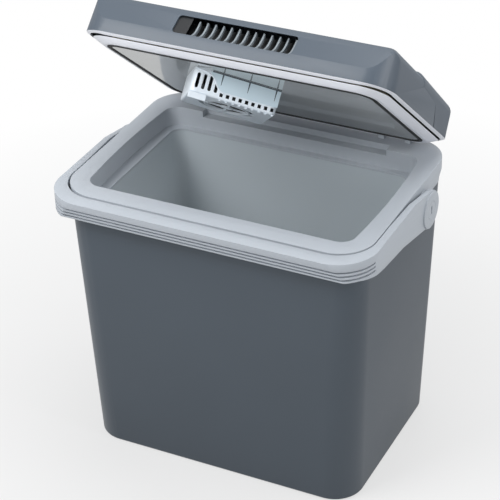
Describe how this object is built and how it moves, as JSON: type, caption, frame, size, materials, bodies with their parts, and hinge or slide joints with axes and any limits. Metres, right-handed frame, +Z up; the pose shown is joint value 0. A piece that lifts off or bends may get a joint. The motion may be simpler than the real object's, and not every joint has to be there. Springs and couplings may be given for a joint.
{
  "type": "thermoelectric cool box",
  "caption": "Tall insulated cool box with its thermoelectric cooling unit in a hinged lid that stands open, and a carrying handle that folds down in front.",
  "frame": {"origin": "centre of the standing rim on the ground, in the middle of the cabinet", "axes": "+Z up, front of the cabinet towards -Y, +X to the right as seen from the front"},
  "size_m": [0.4152, 0.3126, 0.5678],
  "materials": {
    "shell_slate": "fine moulded grain, dark slate grey",
    "lid_grey": "fine moulded grain, mid grey",
    "pale_grey": "satin light cool grey",
    "frame_white": "satin near white grey",
    "panel_gloss": "polished light grey",
    "liner_grey": "satin light grey",
    "fan_cover": "satin pale blue grey",
    "vent_dark": "black grille",
    "black_rubber": "soft black",
    "foam": "rigid insulating foam",
    "aluminium": "extruded, plain",
    "steel": "zinc plated",
    "ceramic": "white ceramic",
    "black_plastic": "black moulded",
    "board_green": "lacquered circuit board",
    "copper": "enamelled winding",
    "lamp": "clear tinted lens"
  },
  "bodies": {
    "cabinet": {"outer_shell": "shell_slate", "body_foam": "foam", "inner_liner": "liner_grey", "collar": "pale_grey", "foot_pads": "black_rubber", "hinge_pins": "steel"},
    "pivot_pins": {"pivot_pins": "pale_grey"},
    "handle": {"handle": "pale_grey"},
    "lid": {"lid_shell": "lid_grey", "rear_cover": "lid_grey", "lid_frame": "frame_white", "lid_seal": "black_rubber", "lid_panel": "panel_gloss", "lid_foam": "foam", "vent_grille": "vent_dark", "unit_chassis": "black_plastic", "chassis_screws": "steel", "thermoelectric_module": "ceramic", "cold_block": "aluminium", "hot_heatsink": "aluminium", "cold_heatsink": "aluminium", "hot_fan_frame": "black_plastic", "cold_fan_frame": "black_plastic", "cold_fan_cover": "fan_cover", "control_board": "board_green", "board_screws": "steel", "transformer": "copper", "capacitors": "black_plastic", "dc_socket": "black_plastic", "mains_socket": "black_plastic", "status_lamps": "lamp", "switch_body": "black_plastic"},
    "hot_fan": {"hot_fan_rotor": "black_plastic"},
    "cold_fan": {"cold_fan_rotor": "black_plastic"},
    "mode_slider": {"mode_switch": "black_plastic"}
  },
  "joints": [
    {"name": "lid_hinge", "type": "hinge", "parent": "cabinet", "child": "lid", "pos_m": [0, 0.13303, 0.3725], "axis": [-1, 0, 0], "range_deg": [-40, 48]},
    {"name": "handle_pin_turn", "type": "hinge", "parent": "cabinet", "child": "pivot_pins", "pos_m": [0, 0.044, 0.332], "axis": [-1, 0, 0], "range_deg": [0, 45]},
    {"name": "handle_turn", "type": "hinge", "parent": "pivot_pins", "child": "handle", "pos_m": [0, 0.044, 0.332], "axis": [-1, 0, 0], "range_deg": [0, 45]},
    {"name": "hot_fan_spin", "type": "hinge", "parent": "lid", "child": "hot_fan", "pos_m": [-0.037, 0.04206, 0.49126], "axis": [0, 0.6428, 0.766], "continuous": true},
    {"name": "cold_fan_spin", "type": "hinge", "parent": "lid", "child": "cold_fan", "pos_m": [-0.037, 0.00349, 0.4453], "axis": [0, 0.6428, 0.766], "continuous": true},
    {"name": "mode_slide", "type": "slide", "parent": "lid", "child": "mode_slider", "axis": [1, 0, 0], "range_m": [0, 0.006]}
  ]
}
